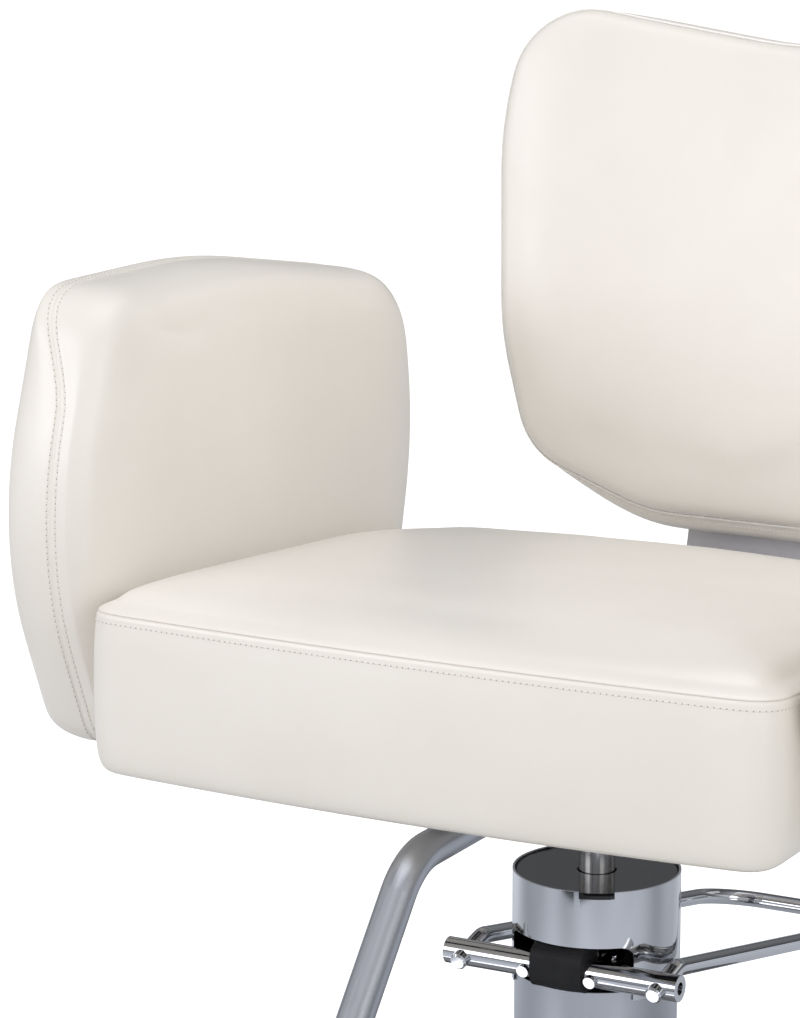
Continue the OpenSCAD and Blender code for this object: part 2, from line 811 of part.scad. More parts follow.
// Ribbed rubber sleeve on the +X half of the foot bar
module grip() {
    inner = foot_r + 0.5;
    outer = foot_w / 2 - 3;
    ribs = 9;
    pitch = (outer - grip_in) / ribs;
    translate([0, -foot_reach, foot_low]) rotate([0, 90, 0]) difference() {
        translate([0, 0, grip_in]) cylinder(r = grip_r, h = outer - grip_in);
        translate([0, 0, grip_in - 1]) cylinder(r = inner, h = outer - grip_in + 2);
        for (z = [grip_in + pitch:pitch:outer - pitch / 2]) tube(grip_r + 1, grip_r - 1.5, z - 2, z + 2);
    }
}

module footrest_grip_left() { color([0.1, 0.1, 0.1]) grip(); }
module footrest_grip_right() { color([0.1, 0.1, 0.1]) mirror([1, 0, 0]) grip(); }

module footrest_caps() {
    color([0.1, 0.1, 0.1]) for (s = [-1, 1])
        translate([s * foot_w / 2, -foot_reach, foot_low]) rotate([0, s * 90, 0]) {
            cylinder(r = foot_r + 0.5, h = 3);
            translate([0, 0, -12]) cylinder(r = foot_r - 1.5, h = 12 + EPS);
        }
}

base_weight();
base_shell();
base_trim();
base_bolts();
pump_flange();
oil_tank();
pump_head();
pump_sleeve();
pump_barrel();
ram_bush();
column_collar();
lower_cover();
upper_cover();
cover_plate();
bearing_bracket();
bearing_block();
bracket_screws();
crossbar();
pedal_loop();
rocker_yoke();
plunger();
plunger_spring();
ram_rod();
ram_piston();
piston_ring();
thrust_washer();
swivel_hub();
hub_ribs();
seat_plate();
seat_bolts();
seat_board();
seat_cushion();
arm_brackets_left();
arm_brackets_right();
arm_bolts_left();
arm_bolts_right();
arm_core_left();
arm_core_right();
arm_pad_left();
arm_pad_right();
back_spine();
back_bolts();
back_board();
back_cushion();
back_cover();
footrest_tube();
footrest_stay();
stay_screws();
footrest_bar();
footrest_grip_left();
footrest_grip_right();
footrest_caps();
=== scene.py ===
# Styling chair: upholstery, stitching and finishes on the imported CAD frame.
# All places are in metres in the frame of the CAD: +Z up, the sitter looks along -Y.
import json
import math
import random

import bpy
from mathutils import Matrix, Vector
from mathutils.bvhtree import BVHTree


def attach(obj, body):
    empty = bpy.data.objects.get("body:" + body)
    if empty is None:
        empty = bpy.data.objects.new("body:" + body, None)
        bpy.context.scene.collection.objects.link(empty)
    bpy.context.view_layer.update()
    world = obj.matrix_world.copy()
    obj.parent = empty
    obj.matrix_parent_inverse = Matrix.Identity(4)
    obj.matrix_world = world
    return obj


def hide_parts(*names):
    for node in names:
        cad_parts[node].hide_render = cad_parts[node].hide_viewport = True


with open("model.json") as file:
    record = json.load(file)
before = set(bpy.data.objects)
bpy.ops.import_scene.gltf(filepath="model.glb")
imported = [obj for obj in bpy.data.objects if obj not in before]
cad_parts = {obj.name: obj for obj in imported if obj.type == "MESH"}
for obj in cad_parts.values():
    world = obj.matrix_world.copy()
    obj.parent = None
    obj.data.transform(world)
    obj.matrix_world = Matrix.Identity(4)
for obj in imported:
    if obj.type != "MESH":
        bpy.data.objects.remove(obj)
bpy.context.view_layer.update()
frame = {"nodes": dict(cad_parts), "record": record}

NODES = frame["nodes"]
MM = 0.001
SCENE = bpy.context.scene
RNG = random.Random(7)

ARC_STEPS = 16              # spans of a rounded corner in an outline
CLOTH_FRAMES = 18
SUBDIVISIONS = 2
TINY = 1e-9

STITCH_PITCH = 4.2 * MM     # seat and arms
THREAD_RADIUS = 0.42 * MM
HOLE_SHADE_RADIUS = 0.5 * MM
HOLE_SHADE_LIFT = 0.08 * MM       # holds the painted hole-shade discs clear of the surface
PIPING_STEP = 5 * MM

NOISE_SPAN = (0.3, 0.7)     # where nearly all of a noise texture's values lie


# ---------------------------------------------------------------- outlines

def unit2(a, b):
    """Direction from a to b in the outline's plane."""
    return Vector((b[0] - a[0], b[1] - a[1])).normalized()


def corner_arc(a, b, c):
    """Points of the arc that rounds corner b, between a and c, with radius b[2]."""
    p = Vector(b[:2])
    u, v = unit2(b, a), unit2(b, c)
    half = math.acos(max(-1.0, min(1.0, u.dot(v)))) / 2
    centre = p + (u + v).normalized() * b[2] / math.sin(half)
    start = p + u * b[2] / math.tan(half) - centre
    end = p + v * b[2] / math.tan(half) - centre
    first = math.atan2(start.y, start.x)
    turn = math.atan2(end.y, end.x) - first
    turn = (turn + math.pi) % (2 * math.pi) - math.pi
    angles = [first + turn * k / ARC_STEPS for k in range(ARC_STEPS + 1)]
    return [centre + b[2] * Vector((math.cos(t), math.sin(t))) for t in angles]


def rounded(corners):
    """Closed outline round the corners, each (x, y, radius)."""
    count = len(corners)
    loop = []
    for i in range(count):
        loop += corner_arc(corners[i - 1], corners[i], corners[(i + 1) % count])
    return loop


def resampled(loop, count, start):
    """The closed loop as count evenly spaced points, anticlockwise, from the point nearest to start."""
    twice_area = sum(loop[i - 1].x * loop[i].y - loop[i].x * loop[i - 1].y for i in range(len(loop)))
    if twice_area < 0:
        loop = loop[::-1]
    first = min(range(len(loop)), key=lambda i: (loop[i] - Vector(start)).length)
    loop = loop[first:] + loop[:first] + [loop[first]]
    lengths = [0.0]
    for a, b in zip(loop, loop[1:]):
        lengths.append(lengths[-1] + (b - a).length)
    points = []
    i = 0
    for k in range(count):
        s = lengths[-1] * k / count
        while lengths[i + 1] < s:
            i += 1
        span = max(lengths[i + 1] - lengths[i], TINY)
        points.append(loop[i].lerp(loop[i + 1], (s - lengths[i]) / span))
    return points


def outward(points):
    """Outward normal at each point of an anticlockwise loop."""
    count = len(points)
    normals = []
    for i in range(count):
        d = points[(i + 1) % count] - points[i - 1]
        normals.append(Vector((d.y, -d.x)).normalized())
    return normals


def inset_loop(points, normals, inset):
    """The loop moved inward by inset."""
    return [p - n * inset for p, n in zip(points, normals)]


def edge_distance(p, loop):
    """Distance from p to the closed polyline."""
    best = math.inf
    for i in range(len(loop)):
        a, b = loop[i - 1], loop[i]
        ab = b - a
        t = max(0.0, min(1.0, (p - a).dot(ab) / max(ab.length_squared, 1e-12)))
        best = min(best, (p - a - ab * t).length_squared)
    return math.sqrt(best)


# ---------------------------------------------------------------- padded forms

def coons(loop, side):
    """Inner points of a square patch whose border is the loop of 4 * side points, by row."""
    c00, c10, c11, c01 = loop[0], loop[side], loop[2 * side], loop[3 * side]
    rows = []
    for j in range(1, side):
        v = j / side
        row = []
        for i in range(1, side):
            u = i / side
            edges = (loop[i] * (1 - v) + loop[3 * side - i] * v + loop[4 * side - j] * (1 - u)
                     + loop[side + j] * u)
            corners = (c00 * (1 - u) * (1 - v) + c10 * u * (1 - v) + c11 * u * v
                       + c01 * (1 - u) * v)
            row.append(edges - corners)
        rows.append(row)
    return rows


def panel(verts, faces, loop, ids, side, lift):
    """Fills the loop whose vertices are ids with a grid, and gives the new vertices' ids.
    lift(point, its distance from the border) makes each vertex."""
    grid = {}
    for k in range(side + 1):
        grid[k, 0] = ids[k]
        grid[side, k] = ids[side + k]
        grid[side - k, side] = ids[2 * side + k]
        grid[0, side - k] = ids[(3 * side + k) % (4 * side)]
    for j, row in enumerate(coons(loop, side), 1):
        for i, p in enumerate(row, 1):
            grid[i, j] = len(verts)
            verts.append(lift(p, edge_distance(p, loop)))
    for i in range(side):
        for j in range(side):
            faces.append((grid[i, j], grid[i + 1, j], grid[i + 1, j + 1], grid[i, j + 1]))
    return [grid[i, j] for i in range(1, side) for j in range(1, side)]


def signed_volume(verts, faces):
    """Six times the volume within the faces, below zero if they look inward. It sets the sign only, so a
    face of more than four corners is taken as the four of its first three and its last."""
    total = 0
    for f in faces:
        a, b, c, d = verts[f[0]], verts[f[1]], verts[f[2]], verts[f[-1]]
        total += a.dot(b.cross(c)) + a.dot(c.cross(d))
    return total


def smooth_object(name, verts, faces):
    """Mesh object with smooth faces, turned so that a closed form's faces look outward."""
    if signed_volume(verts, faces) < 0:
        faces = [f[::-1] for f in faces]
    mesh = bpy.data.meshes.new(name)
    mesh.from_pydata([tuple(v) for v in verts], [], faces)
    mesh.polygons.foreach_set("use_smooth", [True] * len(mesh.polygons))
    mesh.update()
    obj = bpy.data.objects.new(name, mesh)
    SCENE.collection.objects.link(obj)
    return obj


def in_mm(pairs):
    return [(a * MM, b * MM) for a, b in pairs]


def pad_mesh(name, outline, side, rings, place, front, rear):
    """Closed padded form. rings are (inset, depth) from the front panel's border to the rear panel's;
    front and rear take a point and its distance from the border and give that panel's rise there.
    Also gives the vertices of each ring and those of the rear panel."""
    normals = outward(outline)
    count = len(outline)
    verts = []
    faces = []
    ring_ids = []
    for inset, depth in rings:
        ring_ids.append(list(range(len(verts), len(verts) + count)))
        verts += [place(p, depth) for p in inset_loop(outline, normals, inset)]
    for a, b in zip(ring_ids, ring_ids[1:]):
        for i in range(count):
            j = (i + 1) % count
            faces.append((a[j], a[i], b[i], b[j]))
    (front_inset, front_depth), (rear_inset, rear_depth) = rings[0], rings[-1]
    front_loop = inset_loop(outline, normals, front_inset)
    rear_loop = inset_loop(outline, normals, rear_inset)
    rear_faces = []
    panel(verts, faces, front_loop, ring_ids[0], side,
          lambda p, d: place(p, front_depth - front(p, d)))
    rear_ids = panel(verts, rear_faces, rear_loop, ring_ids[-1], side,
                     lambda p, d: place(p, rear_depth + rear(p, d)))
    faces += [f[::-1] for f in rear_faces]
    return smooth_object(name, verts, faces), ring_ids, rear_ids


def inflate(obj, pinned, pressure, cap):
    """Cloth under pressure between the pinned vertices. The foam under it keeps it from sinking, and
    each point's travel is held under cap."""
    rest = [v.co.copy() for v in obj.data.vertices]
    normals = [v.normal.copy() for v in obj.data.vertices]
    obj.vertex_groups.new(name="pin").add(pinned, 1.0, "REPLACE")
    cloth = obj.modifiers.new("Cloth", "CLOTH")
    s = cloth.settings
    s.quality = 5
    s.mass = 0.25
    s.tension_stiffness = s.compression_stiffness = 12
    s.shear_stiffness = 8
    s.bending_stiffness = 4
    s.vertex_group_mass = "pin"
    s.use_pressure = True
    s.uniform_pressure_force = pressure
    s.effector_weights.gravity = 0
    cloth.collision_settings.use_collision = False
    for number in range(1, CLOTH_FRAMES + 1):
        SCENE.frame_set(number)
    shaped = obj.evaluated_get(bpy.context.evaluated_depsgraph_get())
    moved = [v.co.copy() for v in shaped.data.vertices]
    obj.modifiers.remove(cloth)
    for v, a, b, n in zip(obj.data.vertices, rest, moved, normals):
        travel = b - a
        travel -= n * min(0.0, travel.dot(n))
        held = cap * math.tanh(travel.length / cap)
        v.co = a + travel * (held / max(travel.length, TINY))
    SCENE.frame_set(1)


def subdivide(obj):
    mod = obj.modifiers.new("Subdivision", "SUBSURF")
    mod.levels = mod.render_levels = SUBDIVISIONS
    shaped = obj.evaluated_get(bpy.context.evaluated_depsgraph_get())
    mesh = bpy.data.meshes.new_from_object(shaped)
    obj.modifiers.clear()
    obj.data = mesh


def surface_tree(obj):
    """Search tree of the object's faces, to lay seams on."""
    points = [v.co for v in obj.data.vertices]
    return BVHTree.FromPolygons(points, [tuple(p.vertices) for p in obj.data.polygons])


# ---------------------------------------------------------------- seams

def spaced(loop, pitch):
    """Evenly spaced (point, tangent) along a closed 3-D loop, about pitch apart."""
    total = sum((loop[i] - loop[i - 1]).length for i in range(len(loop)))
    count = round(total / pitch)
    step = total / count
    out = []
    passed, target = 0.0, 0.0
    for i in range(len(loop)):
        a, b = loop[i], loop[(i + 1) % len(loop)]
        d = b - a
        while target < passed + d.length and len(out) < count:
            out.append((a + d * ((target - passed) / d.length), d.normalized()))
            target += step
        passed += d.length
    return out


def seam_axes(tangent, normal):
    """Unit vectors along and across a seam, both in the surface."""
    along = (tangent - normal * tangent.dot(normal)).normalized()
    return along, along.cross(normal)


def circle(centre, u, v, radius, sides):
    """Corners of a regular polygon in the plane of u and v."""
    angles = [2 * math.pi * q / sides for q in range(sides)]
    return [centre + (u * math.cos(t) + v * math.sin(t)) * radius for t in angles]


def tube_faces(first, second, sides):
    """Quads between two circles, given by the ids of their first vertices."""
    pairs = [(q, (q + 1) % sides) for q in range(sides)]
    return [(first + q, first + r, second + r, second + q) for q, r in pairs]


def painted_hole_shade(name, tree, loop):
    """Small dark discs painted as the shade in the needle's holes, one at each end of a stitch."""
    sides = 8
    verts = []
    faces = []
    for centre, tangent in spaced(loop, STITCH_PITCH):
        spot, normal, _, _ = tree.find_nearest(centre + tangent * STITCH_PITCH / 2)
        along, across = seam_axes(tangent, normal)
        faces.append(tuple(range(len(verts), len(verts) + sides))[::-1])
        verts += circle(spot + normal * HOLE_SHADE_LIFT, along, across, HOLE_SHADE_RADIUS, sides)
    return smooth_object(name, verts, faces)


def stitch_row(name, tree, loop, pitch, thread):
    """Thread stitches along the loop, each rising from one hole in the surface and sinking in the next."""
    sides, sections = 6, 6
    verts = []
    faces = []
    for centre, tangent in spaced(loop, pitch):
        spot, normal, _, _ = tree.find_nearest(centre)
        along, across = seam_axes(tangent, normal)
        length = pitch * RNG.uniform(0.76, 0.84)
        base = len(verts)
        last = base + (sections - 1) * sides
        for k in range(sections):
            t = k / (sections - 1)
            height = thread * (1.25 * math.sin(math.pi * t) - 0.75)
            radius = thread * (0.65 + 0.35 * math.sin(math.pi * t))
            mid = spot + along * length * (t - 0.5) + normal * height
            verts += circle(mid, across, normal, radius, sides)
        for ring in range(base, last, sides):
            faces += tube_faces(ring, ring + sides, sides)
        faces.append(tuple(range(base, base + sides))[::-1])
        faces.append(tuple(range(last, last + sides)))
    return smooth_object(name, verts, faces)


def piping(name, tree, loop, radius, sink):
    """Cord along a closed seam, partly sunk in the surface. The back's piping is a covered cord; the seat's
    seam line is a thin dark cord painted as the shade in the seam's gap.
    """
    sides = 12
    verts = []
    faces = []
    for centre, tangent in spaced(loop, PIPING_STEP):
        spot, normal, _, _ = tree.find_nearest(centre)
        _, across = seam_axes(tangent, normal)
        verts += circle(spot + normal * (radius - sink), across, normal, radius, sides)
    for ring in range(0, len(verts), sides):
        faces += tube_faces(ring, (ring + sides) % len(verts), sides)
    return smooth_object(name, verts, faces)


# ---------------------------------------------------------------- materials

def map_range(tree, value, low, high, to_low, to_high):
    node = tree.nodes.new("ShaderNodeMapRange")
    for key, number in zip(("From Min", "From Max", "To Min", "To Max"), (low, high, to_low, to_high)):
        node.inputs[key].default_value = number
    tree.links.new(value, node.inputs["Value"])
    return node.outputs["Result"]


class Shader:
    """A Principled material and short calls for its nodes. Coordinates are object space, in metres."""

    def __init__(self, name, color, roughness, metallic=0.0, worn_edges=0.0, **sockets):
        self.mat = bpy.data.materials.new(name)
        self.mat.use_nodes = True
        self.tree = self.mat.node_tree
        self.bsdf = self.tree.nodes["Principled BSDF"]
        self.coords = self.tree.nodes.new("ShaderNodeTexCoord").outputs["Object"]
        self.normal = None
        if worn_edges:
            bevel = self.tree.nodes.new("ShaderNodeBevel")
            bevel.samples = 4
            bevel.inputs["Radius"].default_value = worn_edges
            self.normal = bevel.outputs["Normal"]
        self.set("Base Color", (*color, 1.0))
        self.set("Roughness", roughness)
        self.set("Metallic", metallic)
        for socket, value in sockets.items():
            self.set(socket.replace("_", " "), value)

    def set(self, socket, value):
        self.bsdf.inputs[socket].default_value = value

    def link(self, a, b):
        self.tree.links.new(a, b)

    def stretched(self, scale):
        node = self.tree.nodes.new("ShaderNodeMapping")
        node.inputs["Scale"].default_value = scale
        self.link(self.coords, node.inputs["Vector"])
        return node.outputs["Vector"]

    def noise(self, scale, detail=2.0, rough=0.5, coords=None):
        node = self.tree.nodes.new("ShaderNodeTexNoise")
        node.inputs["Scale"].default_value = scale
        node.inputs["Detail"].default_value = detail
        node.inputs["Roughness"].default_value = rough
        self.link(coords or self.coords, node.inputs["Vector"])
        return node.outputs["Fac"]

    def cells(self, scale, smoothness):
        node = self.tree.nodes.new("ShaderNodeTexVoronoi")
        node.feature = "SMOOTH_F1"
        node.inputs["Scale"].default_value = scale
        node.inputs["Smoothness"].default_value = smoothness
        self.link(self.coords, node.inputs["Vector"])
        return node.outputs["Distance"]

    def span(self, value, low, high, to_low, to_high):
        return map_range(self.tree, value, low, high, to_low, to_high)

    def sum(self, a, b, weight):
        """a + b * weight."""
        node = self.tree.nodes.new("ShaderNodeMath")
        node.operation = "MULTIPLY_ADD"
        self.link(b, node.inputs[0])
        node.inputs[1].default_value = weight
        self.link(a, node.inputs[2])
        return node.outputs["Value"]

    def tint(self, value, dark, light):
        """Colour from dark to light over the middle of a noise's range."""
        node = self.tree.nodes.new("ShaderNodeValToRGB")
        for stop, at, color in zip(node.color_ramp.elements, NOISE_SPAN, (dark, light)):
            stop.position = at
            stop.color = (*color, 1)
        self.link(value, node.inputs["Fac"])
        self.link(node.outputs["Color"], self.bsdf.inputs["Base Color"])

    def rough(self, value, low, high):
        """Roughness from low to high over the middle of a noise's range."""
        self.link(self.span(value, *NOISE_SPAN, low, high), self.bsdf.inputs["Roughness"])

    def bump(self, value, strength, distance):
        node = self.tree.nodes.new("ShaderNodeBump")
        node.inputs["Strength"].default_value = strength
        node.inputs["Distance"].default_value = distance
        self.link(value, node.inputs["Height"])
        if self.normal:
            self.link(self.normal, node.inputs["Normal"])
        self.normal = node.outputs["Normal"]
        self.link(self.normal, self.bsdf.inputs["Normal"])


def vinyl():
    m = Shader("ivory_vinyl_soft", (0.8, 0.75, 0.66), 0.42, Specular_IOR_Level=0.5, Coat_Weight=0.6,
               Coat_Roughness=0.36, Sheen_Weight=0.08, Sheen_Roughness=0.4)
    m.tint(m.noise(9, 3), (0.805, 0.772, 0.722), (0.835, 0.805, 0.757))
    m.rough(m.noise(60, 4), 0.38, 0.47)
    pores = m.cells(750, 0.35)
    m.bump(m.noise(22, 3), 0.12, 1.2 * MM)
    m.bump(m.sum(pores, m.noise(1600, 3), 0.5), 0.28, 0.12 * MM)
    return m.mat


def thread(name, color):
    m = Shader(name, color, 0.6, Sheen_Weight=0.2)
    m.bump(m.noise(3500, 2), 0.4, 0.1 * MM)
    m.rough(m.noise(900, 2), 0.5, 0.7)
    return m.mat


def polished():
    m = Shader("chrome_polished", (0.62, 0.625, 0.64), 0.05, 1.0, worn_edges=0.3 * MM)
    m.rough(m.noise(40, 5, 0.65), 0.03, 0.09)
    m.bump(m.noise(14, 2), 0.03, 1.0 * MM)
    m.bump(m.noise(900, 2, coords=m.stretched((1, 0.06, 0.06))), 0.03, 0.02 * MM)
    return m.mat


def satin(name, color, low, high, stretch, lines):
    """Brushed or plated metal. stretch scales the grain on each axis, and lines is its depth."""
    m = Shader(name, color, 0.3, 1.0, worn_edges=0.6 * MM)
    grain = m.noise(700, 3, coords=m.stretched(stretch))
    m.rough(m.sum(grain, m.noise(12, 3), 0.4), low, high)
    m.bump(grain, lines, 0.05 * MM)
    return m.mat


def turned(name, color):
    """Machined round part: fine rings round the Z axis."""
    m = Shader(name, color, 0.25, 1.0, worn_edges=0.5 * MM)
    rings = m.noise(2.0, 2, coords=m.stretched((4, 4, 1400)))
    m.rough(rings, 0.14, 0.22)
    m.bump(rings, 0.03, 0.004 * MM)
    return m.mat


def coated(name, color, low, high, peel):
    """Sprayed coating with a slight orange peel and rubbed patches."""
    m = Shader(name, color, (low + high) / 2, worn_edges=0.8 * MM, Coat_Weight=0.15, Coat_Roughness=0.25)
    m.rough(m.noise(30, 4), low, high)
    m.tint(m.noise(16, 4), tuple(c * 0.94 for c in color), tuple(min(1, c * 1.05) for c in color))
    m.bump(m.noise(420, 2), peel, 0.08 * MM)
    return m.mat


def moulded(name, color, low, high):
    """Rubber or moulded plastic with a fine eroded surface and dusty high spots."""
    m = Shader(name, color, (low + high) / 2, worn_edges=0.8 * MM, Specular_IOR_Level=0.3)
    m.rough(m.noise(45, 4), low, high)
    m.tint(m.noise(25, 5), color, tuple(c * 1.5 + 0.004 for c in color))
    m.bump(m.noise(1800, 3), 0.3, 0.08 * MM)
    m.bump(m.noise(150, 3), 0.12, 0.3 * MM)
    return m.mat


def casting():
    m = Shader("cast_iron_rough", (0.05, 0.05, 0.055), 0.6, 0.6)
    m.tint(m.noise(35, 5), (0.035, 0.035, 0.04), (0.075, 0.07, 0.068))
    m.rough(m.noise(70, 4), 0.5, 0.75)
    m.bump(m.noise(500, 5, 0.7), 0.5, 0.4 * MM)
    return m.mat


def board():
    """Bare plywood, with its grain along Y."""
    m = Shader("plywood_raw", (0.55, 0.4, 0.25), 0.6)
    grain = m.noise(26, 5, 0.6, coords=m.stretched((10, 1.2, 10)))
    m.tint(grain, (0.42, 0.29, 0.17), (0.64, 0.49, 0.32))
    m.rough(grain, 0.5, 0.7)
    m.bump(grain, 0.3, 0.3 * MM)
    return m.mat


MATERIALS = {
    "cast_iron": casting(),
    "chrome": polished(),
    "satin_steel": satin("satin_steel_brushed", (0.53, 0.54, 0.57), 0.26, 0.36, (1, 0.05, 0.05), 0.1),
    "machined_steel": turned("machined_steel_turned", (0.62, 0.61, 0.6)),
    "rubber": moulded("rubber_black", (0.012, 0.012, 0.013), 0.5, 0.7),
    "zinc_fixings": satin("zinc_fixings_plated", (0.62, 0.62, 0.6), 0.25, 0.4, (1, 1, 1), 0.05),
    "dark_steel": coated("dark_steel_coated", (0.025, 0.025, 0.028), 0.35, 0.5, 0.15),
    "brass": turned("brass_turned", (0.7, 0.52, 0.24)),
    "gloss_black": coated("gloss_black_plate", (0.01, 0.0105, 0.0125), 0.05, 0.08, 0.0),
    "black_block": moulded("black_block_moulded", (0.009, 0.009, 0.0105), 0.55, 0.7),
    "ivory_vinyl": vinyl(),
    "plywood": board(),
    "grey_paint": coated("grey_paint_smooth", (0.6, 0.6, 0.655), 0.3, 0.4, 0.08),
}
PALE_THREAD = thread("thread_pale", (0.93, 0.92, 0.9))
VINYL_THREAD = thread("thread_ivory", (0.83, 0.8, 0.75))
# grey cord painted as the shade in the seat's seam gap
SEAM_SHADE = thread("seam_shade", (0.64, 0.6, 0.55))
# dark discs painted as the shade inside the needle holes
HOLE_SHADE = thread("hole_shade", (0.38, 0.35, 0.32))


def finish_frame():
    """Gives every CAD node the material of its slot in the record."""
    slot_of = {s["node"]: s["material_slot"] for s in frame["record"]["subparts"]}
    for name, obj in NODES.items():
        mat = MATERIALS[slot_of[name]]
        if not obj.material_slots:
            obj.data.materials.append(mat)
        for s in obj.material_slots:
            s.material = mat


def dress(obj, material):
    """Every soft piece belongs to the seat's body and is part of its upholstery."""
    obj.data.materials.clear()
    obj.data.materials.append(material)
    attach(obj, "seat")


def sew(name, tree, loop):
    """A row of stitches, with dark discs painted as the shade of the needle's holes between them."""
    dress(stitch_row(name, tree, loop, STITCH_PITCH, THREAD_RADIUS), VINYL_THREAD)
    # Dark discs in hole_shade, painted as the shade in each needle hole.
    dress(painted_hole_shade(name + "_hole_shade_discs", tree, loop), HOLE_SHADE)


# ---------------------------------------------------------------- seat cushion

SEAT_LOW = 354 * MM
SEAT_HIGH = 466 * MM                        # the seam at the front edge
SEAT_FRONT, SEAT_REAR = -291 * MM, 236 * MM
SEAT_HALF = 252.8 * MM
SEAT_SLOPE = math.tan(math.radians(4.9))
SEAT_BAND = SEAT_HIGH - SEAT_LOW
SEAT_SIDE_FRONT = SEAT_FRONT + 11.8 * MM    # where the bowed front edge meets the sides
SEAT_BOW_FRONT = SEAT_FRONT - 9.3 * MM
SEAT_BOW_RADIUS = 2600 * MM
SEAT_ROUND = 26 * MM
SEAT_DROOP_FROM = 20 * MM                   # where the rear corners start to fall away
SEAT_RINGS = in_mm([
    (16, -6.6), (10.5, -4.5), (6.4, -2.6), (4, -1.1), (3, 0.1), (3.8, 0.9), (2.4, 1.7), (1.8, 3.8),
    (1.7, 6.2), (1.3, 9), (0.4, 16), (-0.3, 30), (-0.8, 46), (-0.9, 62), (-0.6, 78), (-0.1, 90),
    (0.6, 98), (1.6, 104.5), (3.4, 109.6), (6, 112.8), (10, 114.6), (16, 115.2), (52, 115.2), (54, 113.4)])


def smooth(x, low, high):
    """0 below low, 1 above high, with an easy slope between."""
    t = max(0.0, min(1.0, (x - low) / (high - low)))
    return t * t * (3 - 2 * t)


def flat(p, d):
    """A panel with no rise."""
    return 0.0


def rise(d, height, reach):
    """Height that a panel gains at distance d from its seam, nearly all of it within a few reaches.
    height and reach are in millimetres."""
    return height * MM * (1 - math.exp(-max(d, 0) / (reach * MM)))


def seat_outline(count):
    """Plan of the cushion: bowed front edge and rounded corners."""
    corners = [(-SEAT_HALF, SEAT_SIDE_FRONT, SEAT_ROUND), (0, SEAT_BOW_FRONT, SEAT_BOW_RADIUS),
               (SEAT_HALF, SEAT_SIDE_FRONT, SEAT_ROUND), (SEAT_HALF, SEAT_REAR, SEAT_ROUND),
               (-SEAT_HALF, SEAT_REAR, SEAT_ROUND)]
    return resampled(rounded(corners), count, (-SEAT_HALF, SEAT_SIDE_FRONT))


def seat_place(p, depth):
    """Depth is measured down the band at the front edge; above the seam it is negative.
    The seam falls to the rear, and further at the rear corners."""
    droop = 10 * MM * (abs(p.x) / SEAT_HALF) ** 1.5 * smooth(p.y, SEAT_DROOP_FROM, SEAT_REAR)
    seam = SEAT_HIGH - (p.y - SEAT_FRONT) * SEAT_SLOPE - droop
    if depth > 0:
        return Vector((p.x, p.y, seam - depth * (seam - SEAT_LOW) / SEAT_BAND))
    return Vector((p.x, p.y, seam - depth))


def seat_crown(p, d):
    """Top panel: a soft shoulder all round, flatter at the rear corners and fuller along the arms."""
    beside_arm = math.exp(-(SEAT_HALF - abs(p.x)) / (90 * MM))
    ends = min(rise(p.y - SEAT_FRONT, 1, 34), rise(SEAT_REAR - 20 * MM - p.y, 1, 60)) / MM
    at_rear = smooth(p.y, SEAT_DROOP_FROM, 180 * MM)
    flat_corner = 1 - 0.65 * at_rear * (1 - smooth(SEAT_HALF - abs(p.x), 0, 170 * MM))
    return (rise(d, 8.3, 24) + rise(d, 4, 110)) * flat_corner + rise(d, 11.5, 5) * beside_arm * ends


def seat_cushion():
    side = 40
    outline = seat_outline(4 * side)
    normals = outward(outline)
    obj, ring_ids, rear_ids = pad_mesh("seat_upholstery", outline, side, SEAT_RINGS, seat_place,
                                       seat_crown, flat)
    pinned = rear_ids + [i for ring in ring_ids[3:10] + ring_ids[17:] for i in ring]
    inflate(obj, pinned, pressure=2.5, cap=3.5 * MM)
    subdivide(obj)
    tree = surface_tree(obj)
    dress(obj, MATERIALS["ivory_vinyl"])
    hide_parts("seat_cushion")
    row = [seat_place(p, 6.8 * MM) for p in inset_loop(outline, normals, 1.7 * MM)]
    sew("seat_stitching", tree, row)
    seam = [seat_place(p, 0.6 * MM) for p in inset_loop(outline, normals, 3.2 * MM)]
    # A thin grey cord in seam_shade, painted as the shade in the seam's gap.
    dress(piping("seat_seam_shade_line", tree, seam, 0.34 * MM, 0.3 * MM), SEAM_SHADE)


# ---------------------------------------------------------------- armrests

ARM_IN = 254.5 * MM         # the inner faces' distance from the middle of the chair
ARM_HIGH = 671 * MM
ARM_MID_Y, ARM_MID_Z = -35 * MM, 508 * MM
ARM_START = (-214 * MM, 343 * MM)
ARM_CORNERS = [             # side view: (y, z, radius)
    (-214 * MM, 348 * MM, 30 * MM), (-282 * MM, 505 * MM, 225 * MM), (-219 * MM, ARM_HIGH - 1 * MM, 46 * MM),
    (-30 * MM, ARM_HIGH - 5 * MM, 800 * MM), (203 * MM, ARM_HIGH - 48 * MM, 74 * MM),
    (222 * MM, 500 * MM, 280 * MM), (186 * MM, 348 * MM, 40 * MM)]
ARM_RINGS = in_mm([
    (30, 0.4), (22, 1.4), (15, 3.6), (9, 7.4), (4.6, 12.6), (1.8, 19), (0.6, 26), (0.3, 34), (0.9, 39.6),
    (0.2, 41.2), (0.2, 42.8), (1.4, 44.2), (0.1, 45.6), (-0.1, 49), (-0.2, 52), (0.2, 57), (2.4, 63),
    (6.6, 68.6), (12.8, 72.8), (21, 75.4), (30, 76.5)])
ARM_ROWS = {"inner": (0.9, 39.6), "seam": (0, 46.2)}


def arm_place(p, depth, sign):
    """Depth is from the arm's inner face. The seam lies near the middle of the front and rear edges, and
    sweeps outward round both upper corners to run along the outer side of the top."""
    around = math.degrees(math.atan2(p.y - ARM_MID_Z, p.x - ARM_MID_Y)) % 360
    off_top = max(smooth(around, 137, 160) if around < 200 else 1, smooth(-around, -38, -15), around > 270)
    near_seam = smooth(depth, 12 * MM, 36 * MM) * (1 - smooth(depth, 50 * MM, 74 * MM))
    return Vector((sign * (ARM_IN + depth + (13 - 26 * off_top) * MM * near_seam), p.x, p.y))


